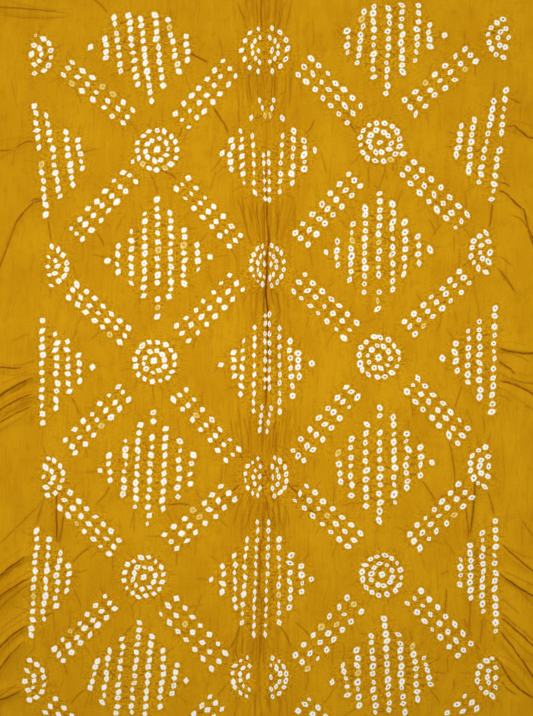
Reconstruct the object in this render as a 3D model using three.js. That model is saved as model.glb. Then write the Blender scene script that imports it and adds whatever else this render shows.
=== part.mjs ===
// A cut length of tie-dyed cotton cloth. It lies flat, in the creases left by its tying and folding.
// Millimetres: +X across the cloth, +Y along it, +Z up. The origin is under the middle, on the surface
// that the cloth lies on.

import * as THREE from 'three';

// Driving sizes of the sheet
const WIDTH = 750;
const LENGTH = 1000;
const THICKNESS = 1.5;
const DYE_COLOUR = 0xc38b12;

// How far the cut edges wander, and how deep into the cloth that reaches
const EDGE_WANDER = 0.7;
const EDGE_WANDER_DEPTH = 30;
const SLOW_WAVE = 50;
const QUICK_WAVE = 18;

// A lift under this height counts as cloth that lies flat
const FLAT_BELOW = 0.2;

// Spacing of the points that the sheet is made of, and how far each may stray from its row
const HEM_STEP = 12;
const FOLD_STEP = 10;
const MIDDLE_STEP = 12;
const FILL_STEP = 36;
const POINT_JITTER = 0.3;
const FILL_JITTER = 2;

// How near two points may come, as shares of the hem's step, a fold's reach and the fill's step
const HEM_CLEAR = 0.6;
const FOLD_CLEAR = 0.45;
const FILL_CLEAR = 0.55;

// The fold down the middle, where the cloth was doubled for tying. Stations run from the far end to the
// near end. Columns: y, x, height of the lobes beside the crease
const MIDDLE_FOLD = [
  [500, -2, 2.8],
  [405, -2, 2.2],
  [337, -2, 3.0],
  [283, -1, 2.6],
  [215, 1, 4.2],
  [147, 1, 5.2],
  [79, 1, 5.6],
  [24, 1, 5.2],
  [-30, 1, 4.8],
  [-98, -1, 3.6],
  [-152, -2, 3.0],
  [-261, -8, 4.2],
  [-356, -8, 4.2],
  [-438, -8, 3.6],
  [-500, -9, 3.2],
];
const MIDDLE_REACH = 9;
const MIDDLE_LOBE = 5.4;

// Folds. Each is a low tuck, soft on one side and steep on the other, from its outer end to its inner end.
// Columns: x and y of the outer end, x and y of the inner end, bow to the left of that line, height,
// reach of its sides, share by which the left side reaches further than the right one
const LEFT_FOLDS = [
  [-375, 479, -262, 467, -4, 3.4, 9, 0.35],
  [-375, 279, -312, 297, 3, 3.0, 9, -0.35],
  [-375, 112, -303, 218, 15, 5.0, 10, 0.35],
  [-375, -11, -322, -13, -4, 3.2, 8, 0.35],
  [-375, -55, -306, -23, 4, 5.4, 9, 0.35],
  [-375, -79, -309, -48, 4, 4.8, 8, -0.35],
  [-375, -95, -312, -62, -3, 3.8, 8, -0.35],
  [-289, -176, -285, -246, 3, 2.8, 8, 0.35],
  [-375, -305, -314, -262, 4, 5.2, 10, 0.35],
  [-375, -337, -314, -296, 3, 6.0, 10, -0.35],
  [-375, -404, -320, -358, 3, 5.6, 10, 0.35],
  [-375, -438, -320, -378, 5, 5.8, 10, -0.35],
  [-375, -470, -330, -450, 3, 5.0, 10, 0.2],
];
const RIGHT_FOLDS = [
  [360, 344, 330, 353, 4, 3.0, 8, 0.2],
  [375, 297, 325, 316, -4, 4.4, 9, -0.35],
  [375, 135, 314, 229, -17, 5.2, 10, -0.35],
  [345, 80, 314, 123, 4, 3.6, 9, 0.35],
  [375, 4, 312, 13, -4, 4.2, 8, -0.35],
  [375, -40, 312, -13, 3, 4.6, 9, 0.35],
  [375, -60, 317, -32, 3, 4.4, 9, 0.35],
  [247, -108, 257, -200, 3, 3.0, 9, 0.35],
  [285, -160, 276, -246, -3, 3.0, 9, -0.35],
  [375, -291, 312, -248, 4, 5.0, 10, 0.35],
  [375, -334, 316, -293, -4, 5.2, 10, -0.35],
  [375, -406, 312, -348, 4, 5.0, 10, 0.35],
  [375, -441, 312, -370, 4, 5.4, 10, -0.35],
  [375, -471, 312, -405, -7, 5.8, 10, 0.35],
];
const INNER_FOLDS = [
  [-72, 345, -48, 299, 3, 2.6, 8, 0.35],
  [68, 330, 50, 299, -3, 2.6, 8, 0.35],
  [-34, -172, -68, -196, 3, 3.2, 8, 0.35],
  [26, -164, 66, -196, -4, 3.2, 8, -0.35],
  [-35, -358, -53, -402, -3, 3.0, 8, 0.35],
  [13, -354, 37, -402, 3, 3.0, 8, -0.35],
  [-210, -172, -236, -203, 3, 2.6, 8, 0.35],
  [208, -163, 234, -203, 3, 2.6, 8, 0.35],
];

// Gathers beside the middle fold, where the doubled cloth was pulled in above and below each motif.
// Columns: y of their middle, half their length, their height, how far they spread from the fold
const GATHERS = [
  [476, 34, 2.4, 40],
  [364, 38, 2.8, 40],
  [190, 38, 3.2, 40],
  [82, 26, 2.8, 34],
  [-92, 50, 3.4, 42],
  [-206, 26, 3.0, 36],
  [-330, 40, 2.6, 36],
];
const GATHER_PITCH = 2 * MIDDLE_REACH;

// The share of a fold's length over which it fades out at an end that isn't on the cut edge, and the
// share that it runs on past that end
const FADE_SHARE = 0.4;
const RUN_ON_SHARE = 0.12;

// The rows of points along a fold and along the middle fold, as multiples of their reach. The middle
// fold's rows past 2 and -2 are those of the gathers
const FOLD_ROWS = [0, -0.75, 0.75, -1.6, 1.6];
const MIDDLE_ROWS = [0, -1, 1, -0.5, 0.5, -2, 2, -3, 3, -4, 4];
const GATHER_ROWS_FROM = 2;
const GATHER_RUN = 1.2;

// A small seeded generator, so that the cloth is the same each time
function randomFrom(seed) {
  let state = seed;
  return () => {
    state = (state * 1664525 + 1013904223) % 4294967296;
    return state / 4294967296;
  };
}

const random = randomFrom(41);

function jitter(size) {
  return (random() * 2 - 1) * size;
}

function smooth(share) {
  const t = Math.min(Math.max(share, 0), 1);
  return t * t * (3 - 2 * t);
}

// The middle fold's x and height at a given y
function middleAt(y) {
  let row = 1;
  while (row < MIDDLE_FOLD.length - 1 && MIDDLE_FOLD[row][0] > y) {
    row += 1;
  }
  const [y1, x1, height1] = MIDDLE_FOLD[row - 1];
  const [y2, x2, height2] = MIDDLE_FOLD[row];
  const share = smooth((y - y1) / (y2 - y1));
  return { x: x1 + (x2 - x1) * share, height: height1 + (height2 - height1) * share };
}

// Two soft lobes, one on each side of the crease
function middleLift(x, y) {
  const { x: foldX, height } = middleAt(y);
  const off = (Math.abs(x - foldX) - MIDDLE_REACH) / MIDDLE_LOBE;
  return height * Math.exp(-off * off);
}

// A row of a fold table, with its length and direction worked out
function measuredFold([x1, y1, x2, y2, bow, height, reach, lean]) {
  const length = Math.hypot(x2 - x1, y2 - y1);
  const alongX = (x2 - x1) / length;
  const alongY = (y2 - y1) / length;
  const open = Math.abs(x1) >= WIDTH / 2;
  return { x1, y1, alongX, alongY, length, bow, height, reach, lean, open };
}

const folds = [...LEFT_FOLDS, ...RIGHT_FOLDS, ...INNER_FOLDS].map(measuredFold);

// How far the fold's crease stands from its straight line, at a share of its length
function bowAt(fold, share) {
  const t = Math.min(Math.max(share, 0), 1);
  return fold.bow * 4 * t * (1 - t);
}

// How far a fold reaches on the side that a signed distance is on
function reachOf(fold, distance) {
  return fold.reach * (1 + fold.lean * Math.sign(distance));
}

function foldLift(fold, x, y) {
  const dx = x - fold.x1;
  const dy = y - fold.y1;
  const share = (dx * fold.alongX + dy * fold.alongY) / fold.length;
  const distance = dy * fold.alongX - dx * fold.alongY - bowAt(fold, share);
  const inner = smooth((1 + RUN_ON_SHARE - share) / FADE_SHARE);
  const outer = fold.open ? 1 : smooth((share + RUN_ON_SHARE) / FADE_SHARE);
  const off = distance / reachOf(fold, distance);
  return fold.height * Math.exp(-off * off) * inner * outer;
}

function gatherLift(x, y) {
  let lift = 0;
  for (const [middle, half, height, spread] of GATHERS) {
    const fromFold = x - middleAt(y).x;
    const ripple = 0.5 - 0.5 * Math.cos((2 * Math.PI * fromFold) / GATHER_PITCH);
    const across = Math.exp(-((fromFold / spread) ** 4));
    const along = Math.exp(-(((y - middle) / half) ** 4));
    lift = Math.max(lift, height * ripple * across * along);
  }
  return lift;
}

// The height of the cloth's underside over the surface. Folds that meet share their height
function liftAt(x, y) {
  let cubes = middleLift(x, y) ** 3 + gatherLift(x, y) ** 3;
  for (const fold of folds) {
    cubes += foldLift(fold, x, y) ** 3;
  }
  return Math.max(0, Math.cbrt(cubes) - FLAT_BELOW);
}

// A slow wave and a quick one, by which a cut edge wanders along its length
function edgeWave(along, side) {
  return Math.sin(along / SLOW_WAVE + side) + 0.5 * Math.sin(along / QUICK_WAVE);
}

// The cut edges wander inwards a little, which fades towards the inside of the cloth
function wandered(x, y) {
  const nearSide = smooth(1 - (WIDTH / 2 - Math.abs(x)) / EDGE_WANDER_DEPTH);
  const nearEnd = smooth(1 - (LENGTH / 2 - Math.abs(y)) / EDGE_WANDER_DEPTH);
  const inX = nearSide * EDGE_WANDER * (1.5 + edgeWave(y, Math.sign(x)));
  const inY = nearEnd * EDGE_WANDER * (1.5 + edgeWave(x, Math.sign(y)));
  return [x - Math.sign(x) * inX, y - Math.sign(y) * inY];
}

// The sheet's points before they are lifted
const points = [];

// Adds a point, unless it is too near the hem or another point. The hem's own points are given no clear
function addPoint(x, y, clear) {
  const margin = clear > 0 ? HEM_STEP * HEM_CLEAR : 0;
  if (Math.abs(x) > WIDTH / 2 - margin || Math.abs(y) > LENGTH / 2 - margin) {
    return;
  }
  for (const [px, py] of points) {
    if (Math.hypot(px - x, py - y) < clear) {
      return;
    }
  }
  points.push([x, y]);
}

// The hem's points, in order round the sheet
function addHem() {
  const acrossSteps = Math.round(WIDTH / HEM_STEP);
  const alongSteps = Math.round(LENGTH / HEM_STEP);
  for (let i = 0; i < acrossSteps; i += 1) {
    addPoint(-WIDTH / 2 + (WIDTH * i) / acrossSteps, -LENGTH / 2, 0);
  }
  for (let i = 0; i < alongSteps; i += 1) {
    addPoint(WIDTH / 2, -LENGTH / 2 + (LENGTH * i) / alongSteps, 0);
  }
  for (let i = 0; i < acrossSteps; i += 1) {
    addPoint(WIDTH / 2 - (WIDTH * i) / acrossSteps, LENGTH / 2, 0);
  }
  for (let i = 0; i < alongSteps; i += 1) {
    addPoint(-WIDTH / 2, LENGTH / 2 - (LENGTH * i) / alongSteps, 0);
  }
  return points.length;
}

// A row of points along a fold: 0 is on its crest, and 1 and -1 are at the reach of its sides
function addFoldRow(fold, row) {
  const steps = Math.max(2, Math.round(fold.length / FOLD_STEP));
  for (let i = 0; i <= steps; i += 1) {
    const share = i / steps;
    const along = share * fold.length;
    const across = row * reachOf(fold, row) + bowAt(fold, share);
    const x = fold.x1 + fold.alongX * along - fold.alongY * across;
    const y = fold.y1 + fold.alongY * along + fold.alongX * across;
    addPoint(x + jitter(POINT_JITTER), y + jitter(POINT_JITTER), fold.reach * FOLD_CLEAR);
  }
}

// A row along the middle fold: 0 is on its crease, and 1 and -1 are on its lobes
function addMiddleRow(row) {
  const steps = Math.round(LENGTH / MIDDLE_STEP);
  for (let i = 1; i < steps; i += 1) {
    const y = LENGTH / 2 - (LENGTH * i) / steps;
    const x = middleAt(y).x + row * MIDDLE_REACH;
    const gathered = GATHERS.some(([middle, half]) => Math.abs(y - middle) < GATHER_RUN * half);
    if (gathered || Math.abs(row) <= GATHER_ROWS_FROM) {
      addPoint(x + jitter(POINT_JITTER), y + jitter(POINT_JITTER), MIDDLE_REACH * FOLD_CLEAR);
    }
  }
}

function addCreased() {
  for (const row of FOLD_ROWS) {
    folds.forEach((fold) => addFoldRow(fold, row));
  }
  for (const row of MIDDLE_ROWS) {
    addMiddleRow(row);
  }
}

// Points over the rest of the sheet, in staggered rows that make nearly even triangles
function addFill() {
  const rows = Math.round(LENGTH / (FILL_STEP * Math.sqrt(0.75)));
  const columns = Math.round(WIDTH / FILL_STEP);
  for (let row = 0; row < rows; row += 1) {
    for (let column = 0; column < columns; column += 1) {
      const x = -WIDTH / 2 + (WIDTH * (column + 0.25 + 0.5 * (row % 2))) / columns;
      const y = -LENGTH / 2 + (LENGTH * (row + 0.5)) / rows;
      addPoint(x + jitter(FILL_JITTER), y + jitter(FILL_JITTER), FILL_STEP * FILL_CLEAR);
    }
  }
}

// The circle through three points, for the test that keeps the triangles well shaped
function circleOf(a, b, c, at) {
  const [ax, ay] = at[a];
  const [bx, by] = at[b];
  const [cx, cy] = at[c];
  const turn = 2 * ((bx - ax) * (cy - ay) - (by - ay) * (cx - ax));
  const b2 = (bx - ax) ** 2 + (by - ay) ** 2;
  const c2 = (cx - ax) ** 2 + (cy - ay) ** 2;
  const x = ((cy - ay) * b2 - (by - ay) * c2) / turn;
  const y = ((bx - ax) * c2 - (cx - ax) * b2) / turn;
  return { a, b, c, x: ax + x, y: ay + y, radius2: x * x + y * y };
}

// Triangles between the points, all turning left. Each point is added in turn: the triangles whose
// circle it falls in are taken out, and the hole is filled with triangles to the point
function triangulate(at) {
  const far = 1e6;
  const count = at.length;
  const all = [...at, [-far, -far], [far, -far], [0, far]];
  let triangles = [circleOf(count, count + 1, count + 2, all)];
  for (let p = 0; p < count; p += 1) {
    const [x, y] = all[p];
    const kept = [];
    const open = new Map();
    for (const t of triangles) {
      if ((t.x - x) ** 2 + (t.y - y) ** 2 > t.radius2) {
        kept.push(t);
        continue;
      }
      for (const [from, to] of [[t.a, t.b], [t.b, t.c], [t.c, t.a]]) {
        if (!open.delete(`${to},${from}`)) {
          open.set(`${from},${to}`, [from, to]);
        }
      }
    }
    for (const [from, to] of open.values()) {
      kept.push(circleOf(from, to, p, all));
    }
    triangles = kept;
  }
  return triangles.filter((t) => t.a < count && t.b < count && t.c < count);
}

// The closed sheet: its top, its underside and the cut edge between them
function clothGeometry() {
  const hemCount = addHem();
  addCreased();
  addFill();

  const triangles = triangulate(points);
  const count = points.length;
  const position = [];
  for (const thickness of [THICKNESS, 0]) {
    for (const [x, y] of points) {
      position.push(...wandered(x, y), liftAt(x, y) + thickness);
    }
  }
  const index = [];
  for (const { a, b, c } of triangles) {
    index.push(a, b, c);
    index.push(a + count, c + count, b + count);
  }
  for (let i = 0; i < hemCount; i += 1) {
    const next = (i + 1) % hemCount;
    index.push(i, i + count, next);
    index.push(next, i + count, next + count);
  }
  const geometry = new THREE.BufferGeometry();
  geometry.setAttribute('position', new THREE.Float32BufferAttribute(position, 3));
  geometry.setIndex(index);
  geometry.computeBoundingBox();
  const middle = geometry.boundingBox.getCenter(new THREE.Vector3());
  geometry.translate(-middle.x, -middle.y, -geometry.boundingBox.min.z);
  geometry.computeVertexNormals();
  return geometry;
}

function makeCloth() {
  const material = new THREE.MeshStandardMaterial({ color: DYE_COLOUR, roughness: 0.8, metalness: 0 });
  const cloth = new THREE.Mesh(clothGeometry(), material);
  cloth.name = 'bandhani_cloth';
  return cloth;
}

const model = new THREE.Group();
model.add(makeCloth());

export default model;
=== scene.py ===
# A cut length of tie-dyed cotton cloth, mustard with undyed white dots, lying in the creases of its tying.
# Sizes are millimetres in the frame's axes, +X across the cloth, +Y along it and +Z up. They turn into
# metres where a mesh, light or camera is made.

import math
import random
from collections import namedtuple

import bpy
import numpy as np
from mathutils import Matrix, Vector, kdtree, noise
from mathutils.geometry import delaunay_2d_cdt


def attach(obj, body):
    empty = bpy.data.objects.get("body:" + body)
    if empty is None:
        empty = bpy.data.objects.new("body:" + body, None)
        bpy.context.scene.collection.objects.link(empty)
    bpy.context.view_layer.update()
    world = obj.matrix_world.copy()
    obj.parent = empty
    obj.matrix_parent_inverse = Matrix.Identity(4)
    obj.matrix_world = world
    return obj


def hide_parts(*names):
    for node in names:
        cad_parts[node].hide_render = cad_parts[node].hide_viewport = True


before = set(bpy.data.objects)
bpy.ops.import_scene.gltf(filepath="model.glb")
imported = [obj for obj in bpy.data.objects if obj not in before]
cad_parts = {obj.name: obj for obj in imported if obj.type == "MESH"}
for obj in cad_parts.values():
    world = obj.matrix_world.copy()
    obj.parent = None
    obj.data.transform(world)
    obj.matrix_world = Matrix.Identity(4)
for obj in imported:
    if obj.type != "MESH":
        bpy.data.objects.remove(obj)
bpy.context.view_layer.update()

MM = 0.001

# Seeds of the random draws for the dots, the creases and the mesh's points
DOT_SEED = 7
CREASE_SEED = 19
POINT_SEED = 3

# The sheet, and how its cut edges wander inwards, as in the solid
WIDTH = 750
LENGTH = 1000
EDGE_WANDER = 0.7
EDGE_WANDER_MEAN = 1.5
EDGE_WANDER_DEPTH = 30
SLOW_WAVE = 50
QUICK_WAVE = 18

# Lines wander in a slow and a quick wave. The quick one's share of the slow one's height
QUICK_SHARE = 0.5

# The cloth's middle height where it lies flat, and the lowest that a crease takes it
BASE_HEIGHT = 1.0
LOWEST = 0.2

# What the view shows of the cloth, the camera's lens and sensor, and how far it sees
VIEW_LENGTH = 973.8
LENS = 200
SENSOR = 36
VIEW_END = 50000

# The fold down the middle, where the cloth was doubled for tying.
# Columns: y, x, height of the lobes beside the crease, depth of the crease
MIDDLE_FOLD = np.array([
    (500, -2, 2.8, 0.5),
    (405, -2, 2.2, 0.3),
    (337, -2, 3.0, 0.4),
    (283, -1, 2.6, 0.5),
    (215, 1, 4.2, 1.3),
    (147, 1, 5.2, 1.6),
    (79, 1, 5.6, 1.9),
    (24, 1, 5.2, 1.9),
    (-30, 1, 4.8, 1.5),
    (-98, -1, 3.6, 0.5),
    (-152, -2, 3.0, 0.4),
    (-261, -8, 4.2, 0.9),
    (-356, -8, 4.2, 0.8),
    (-438, -8, 3.6, 0.5),
    (-500, -9, 3.2, 0.5),
])
MIDDLE_REACH = 9
MIDDLE_LOBE = 5.4
MIDDLE_CREASE_WIDTH = 1.3
MIDDLE_WANDER = 1.3
SLOW_WANDER = 21
QUICK_WANDER = 8

# Folds, as in the solid. Columns: x and y of the outer end, x and y of the inner end, bow to the left of
# that line, height, reach of its sides, share by which the left side reaches further than the right one
FOLDS = [
    (-375, 479, -262, 467, -4, 3.4, 9, 0.35),
    (-375, 279, -312, 297, 3, 3.0, 9, -0.35),
    (-375, 112, -303, 218, 15, 5.0, 10, 0.35),
    (-375, -11, -322, -13, -4, 3.2, 8, 0.35),
    (-375, -55, -306, -23, 4, 5.4, 9, 0.35),
    (-375, -79, -309, -48, 4, 4.8, 8, -0.35),
    (-375, -95, -312, -62, -3, 3.8, 8, -0.35),
    (-289, -176, -285, -246, 3, 2.8, 8, 0.35),
    (-375, -305, -314, -262, 4, 5.2, 10, 0.35),
    (-375, -337, -314, -296, 3, 6.0, 10, -0.35),
    (-375, -404, -320, -358, 3, 5.6, 10, 0.35),
    (-375, -438, -320, -378, 5, 5.8, 10, -0.35),
    (-375, -470, -330, -450, 3, 5.0, 10, 0.2),
    (360, 344, 330, 353, 4, 3.0, 8, 0.2),
    (375, 297, 325, 316, -4, 4.4, 9, -0.35),
    (375, 135, 314, 229, -17, 5.2, 10, -0.35),
    (345, 80, 314, 123, 4, 3.6, 9, 0.35),
    (375, 4, 312, 13, -4, 4.2, 8, -0.35),
    (375, -40, 312, -13, 3, 4.6, 9, 0.35),
    (375, -60, 317, -32, 3, 4.4, 9, 0.35),
    (247, -108, 257, -200, 3, 3.0, 9, 0.35),
    (285, -160, 276, -246, -3, 3.0, 9, -0.35),
    (375, -291, 312, -248, 4, 5.0, 10, 0.35),
    (375, -334, 316, -293, -4, 5.2, 10, -0.35),
    (375, -406, 312, -348, 4, 5.0, 10, 0.35),
    (375, -441, 312, -370, 4, 5.4, 10, -0.35),
    (375, -471, 312, -405, -7, 5.8, 10, 0.35),
    (-72, 345, -48, 299, 3, 2.6, 8, 0.35),
    (68, 330, 50, 299, -3, 2.6, 8, 0.35),
    (-34, -172, -68, -196, 3, 3.2, 8, 0.35),
    (26, -164, 66, -196, -4, 3.2, 8, -0.35),
    (-35, -358, -53, -402, -3, 3.0, 8, 0.35),
    (13, -354, 37, -402, 3, 3.0, 8, -0.35),
    (-210, -172, -236, -203, 3, 2.6, 8, 0.35),
    (208, -163, 234, -203, 3, 2.6, 8, 0.35),
]
FADE_SHARE = 0.4
RUN_ON_SHARE = 0.12
FLAT_BELOW = 0.2

# Gathers beside the middle fold. Columns: y of their middle, half their length, height, spread
GATHERS = [
    (476, 34, 2.4, 40),
    (364, 38, 2.8, 40),
    (190, 38, 3.2, 40),
    (82, 26, 2.8, 34),
    (-92, 50, 3.4, 42),
    (-206, 26, 3.0, 36),
    (-330, 40, 2.6, 36),
]
GATHER_PITCH = 2 * MIDDLE_REACH

# Finer gathers on those, as high as given where the gathers are full, and how much they wobble
FINE_GATHER_PITCH = 6.5
FINE_GATHER_HEIGHT = 0.45
FULL_GATHER = 3
FINE_GATHER_WOBBLE = 3
WOBBLE_PATCH = (40, 55, 21)

# How far from the middle fold the ground is streaked darker in full, and the width over which that fades
FOLD_STREAKS_NEAR = 26
FOLD_STREAKS_FADE = 40

# Creases sharper than the folds. Columns: x and y of one end, x and y of the other, bow to the left of
# that line, depth. One that runs off the cloth ends beyond its edge
CREASES = [
    (-378, 477, -266, 468, 2, 0.8),
    (-236, 490, -214, 467, 1, 0.8),
    (-378, 283, -343, 284, -2, 0.8),
    (-343, 284, -314, 295, 3, 0.9),
    (-303, 217, -322, 213, -1, 0.9),
    (-298, 187, -293, 156, 1, 0.8),
    (-254, 279, -226, 284, 1, 0.5),
    (-190, 197, -206, 170, -1, 0.4),
    (-347, 22, -320, 34, 1, 0.4),
    (-347, -10, -311, -2, -2, 0.5),
    (-378, -9, -325, -12, -3, 1.2),
    (-378, -64, -309, -24, 4, 1.3),
    (-352, -50, -322, -31, -1, 0.7),
    (-378, -83, -313, -47, 4, 1.3),
    (-336, -59, -310, -52, 1, 0.6),
    (-378, -97, -311, -62, 2, 1.0),
    (-362, -252, -306, -197, 0, 0.6),
    (-304, -193, -315, -230, 1, 0.7),
    (-285, -176, -284, -258, -1, 1.1),
    (-276, -214, -284, -258, 1, 0.9),
    (-266, -53, -255, -80, 2, 0.7),
    (-213, -174, -233, -200, 2, 0.8),
    (-378, -311, -318, -265, 3, 1.4),
    (-378, -315, -326, -275, 3, 0.7),
    (-378, -336, -318, -297, 2, 1.5),
    (-378, -341, -330, -307, 2, 0.7),
    (-362, -370, -319, -340, 2, 0.5),
    (-378, -411, -322, -361, 4, 1.4),
    (-305, -353, -288, -347, 1, 0.8),
    (-378, -447, -326, -382, 4, 1.3),
    (-350, -409, -334, -388, 1, 0.6),
    (-370, -465, -336, -442, 1, 0.7),
    (-378, -467, -331, -451, -3, 1.3),
    (-305, -359, -304, -384, 1, 0.4),
    (-290, -343, -289, -373, 1, 0.4),
    (-271, -298, -254, -298, 1, 0.6),
    (-264, -279, -235, -254, 2, 0.8),
    (-266, -470, -245, -449, 1, 0.7),
    (-194, -377, -179, -362, 1, 0.6),
    (-108, 415, -75, 397, 2, 1.1),
    (-145, 445, -129, 438, 1, 0.6),
    (-73, 340, -50, 301, 2, 1.0),
    (-114, 314, -123, 297, 1, 0.8),
    (-158, 250, -148, 219, 2, 0.7),
    (-149, 257, -120, 242, 2, 0.9),
    (-232, 172, -221, 150, 2, 0.8),
    (-237, 140, -199, 129, 2, 0.6),
    (-136, -200, -100, -201, 2, 0.9),
    (-36, -171, -70, -193, 3, 1.0),
    (331, 354, 350, 347, -2, 0.8),
    (317, 238, 332, 232, 2, 0.9),
    (315, 254, 324, 240, 2, 0.5),
    (275, 248, 277, 218, 0, 0.4),
    (262, 186, 279, 161, 1, 0.4),
    (255, 167, 256, 140, 0, 0.4),
    (238, 183, 225, 165, 0, 0.6),
    (138, 265, 140, 234, 0, 0.5),
    (162, 265, 151, 227, 2, 0.6),
    (317, 138, 335, 124, 1, 0.6),
    (312, 124, 326, 102, 1, 0.6),
    (267, 124, 289, 140, 1, 0.5),
    (255, 65, 258, 47, 1, 0.5),
    (194, -50, 200, -86, 1, 0.6),
    (294, -77, 296, -109, 1, 0.5),
    (271, -68, 280, -95, 1, 0.5),
    (104, -200, 135, -197, 1, 0.5),
    (244, -313, 240, -354, 2, 0.8),
    (267, -354, 280, -381, 1, 0.6),
    (92, -449, 77, -471, 1, 0.5),
    (255, -435, 253, -453, 1, 0.6),
    (-181, -208, -181, -240, 1, 0.5),
    (-50, -82, -45, -118, 1, 0.5),
    (-263, -313, -251, -344, 1, 0.5),
    (-186, -331, -181, -358, 1, 0.5),
    (-69, 256, -78, 228, 1, 0.5),
    (-258, 40, -265, 24, 1, 0.5),
    (307, 211, 302, 175, 1, 1.0),
    (243, 287, 254, 287, 0, 0.6),
    (316, 121, 339, 87, 1, 0.9),
    (315, 14, 378, 9, -5, 1.2),
    (315, -4, 341, -24, 1, 1.3),
    (330, -27, 378, -35, -3, 0.8),
    (318, -31, 378, -62, 5, 1.4),
    (315, -49, 334, -60, 1, 0.5),
    (350, -63, 378, -80, 0, 0.6),
    (265, -37, 255, -69, 1, 0.7),
    (248, -113, 256, -193, 3, 0.8),
    (283, -164, 275, -249, 2, 1.1),
    (270, -200, 275, -249, 1, 0.9),
    (301, -182, 309, -215, 1, 0.8),
    (236, -189, 247, -186, 0, 0.7),
    (210, -166, 231, -199, 2, 0.8),
    (241, -248, 256, -269, 1, 0.5),
    (236, -295, 249, -290, 1, 0.6),
    (346, -219, 378, -258, -1, 0.6),
    (317, -250, 378, -300, -2, 1.1),
    (322, -289, 378, -314, -1, 0.6),
    (317, -293, 378, -330, -3, 1.3),
    (318, -326, 346, -351, 1, 0.5),
    (318, -345, 372, -392, 0, 0.7),
    (317, -351, 378, -406, 1, 1.2),
    (317, -371, 378, -458, 2, 1.3),
    (319, -440, 342, -459, -2, 0.9),
    (277, -326, 274, -384, 1, 0.7),
    (293, -353, 290, -392, 1, 0.6),
    (282, -388, 291, -398, 0, 0.7),
    (245, -404, 246, -431, 1, 0.5),
    (226, -427, 245, -431, 1, 0.6),
    (63, 460, 63, 419, 1, 0.4),
    (65, 324, 51, 303, 2, 0.7),
    (103, 326, 122, 306, 2, 0.9),
    (73, 280, 82, 249, 1, 0.6),
    (154, 167, 182, 147, 1, 0.6),
    (222, 188, 231, 166, 1, 0.6),
    (-62, 273, -77, 253, 2, 0.6),
    (27, -167, 62, -193, -4, 1.1),
    (-8, -160, 3, -159, 0, 1.5),
    (-10, -138, -2, -149, 1, 0.8),
    (10, -141, -1, -150, 1, 0.9),
    (23, -147, 16, -155, 1, 0.7),
    (-38, -130, -32, -140, 1, 0.8),
    (33, -173, 46, -176, 1, 0.8),
    (39, -191, 57, -189, 1, 0.8),
    (55, -206, 69, -213, 1, 1.2),
    (-2, -150, 1, -172, 1, 0.8),
    (3, -150, 6, -172, -1, 0.6),
    (-6, -176, 2, -214, 2, 0.9),
    (6, -176, 12, -200, -2, 0.8),
    (-36, -362, -51, -397, 2, 0.8),
    (14, -358, 35, -397, 2, 0.8),
    (-54, -443, -69, -461, 1, 0.6),
    (39, -359, 62, -382, 1, 0.7),
    (-11, -350, 7, -367, -4, 0.8),
    (222, -452, 236, -469, 1, 0.6),
]

# Creases with several bends, each a row of places. Columns of a place: x, y, depth from there on
LONG_CREASES = [
    [(315, 228, 1.1), (324, 225, 1.3), (331, 218, 1.4), (342, 207, 1.4), (350, 201, 1.2),
     (353, 188, 1.1), (358, 168, 1.2), (366, 148, 1.1), (378, 122, 0)],
    [(335, 194, 0.7), (345, 190, 0.8), (352, 182, 1.0), (361, 167, 1.2), (370, 149, 1.2), (378, 132, 0)],
    [(-303, 216, 0.9), (-317, 211, 1.0), (-330, 198, 1.2), (-340, 185, 0.8),
     (-347, 166, 0.9), (-354, 148, 1.0), (-365, 122, 0.8), (-378, 96, 0)],
    [(310, -407, 0.9), (318, -414, 1.1), (325, -428, 1.2), (334, -441, 1.3), (346, -452, 1.5),
     (362, -462, 1.5), (378, -471, 0)],
    [(326, 314, 0.9), (337, 316, 1.0), (346, 308, 1.2), (356, 300, 1.1), (366, 298, 0.9), (378, 299, 0)],
]

# Shares of a crease's length over which it fades in and out, how far it runs on past its ends, and
# the share at an end where it goes on as another crease
FADE_START = 0.16
FADE_END = 0.3
RUN_OUT = 0.06
NO_FADE = 0.08

# The bow up to which a fold counts as nearly straight
STRAIGHT_BOW = 8

# A crease's groove and raised shoulders, how many shoulders away it still counts, its real depth for
# each unit of charted depth, and its wave, with a second wave that is so many times as quick
CREASE_WIDTH = 1.4
SHOULDER_SHARE = 0.55
SHOULDER_WIDTH = 3.2
SHOULDERS_AWAY = 4
CREASE_RELIEF = 0.6
CREASE_WAVE = 0.25
CREASE_WAVE_LENGTH = 26
QUICK_TIMES = 2.3

# Which crease colours a face: the middle fold's counts as nearer than it is, by this share, and one
# that has faded out as this much further away
MIDDLE_NEARER = 0.5
FADED_AWAY = 6

# Kinds of creases that are set out by chance. Columns: width, height of the wave, least and most depth
CreaseKind = namedtuple("CreaseKind", "width wave least_depth most_depth")
EDGE_CREASE = CreaseKind(1.2, CREASE_WAVE, 0.2, 0.55)
PLEAT = CreaseKind(1.2, 0.35, 0.2, 0.75)
THREAD_CREASE = CreaseKind(1.3, CREASE_WAVE, 0.1, 0.34)
TIE_CREASE = CreaseKind(1.0, 0.4, 0.25, 0.8)
PUCKER = CreaseKind(1.1, 0.3, 0.15, 0.5)

# The creases beside a fold, in shares of its reach at the outer and the inner end, and where along
# the fold they start
EDGE_CREASE_OUTER = (0.9, 1.6)
EDGE_CREASE_INNER = (0.1, 0.9)
EDGE_CREASE_START = (0.0, 0.3)

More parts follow.
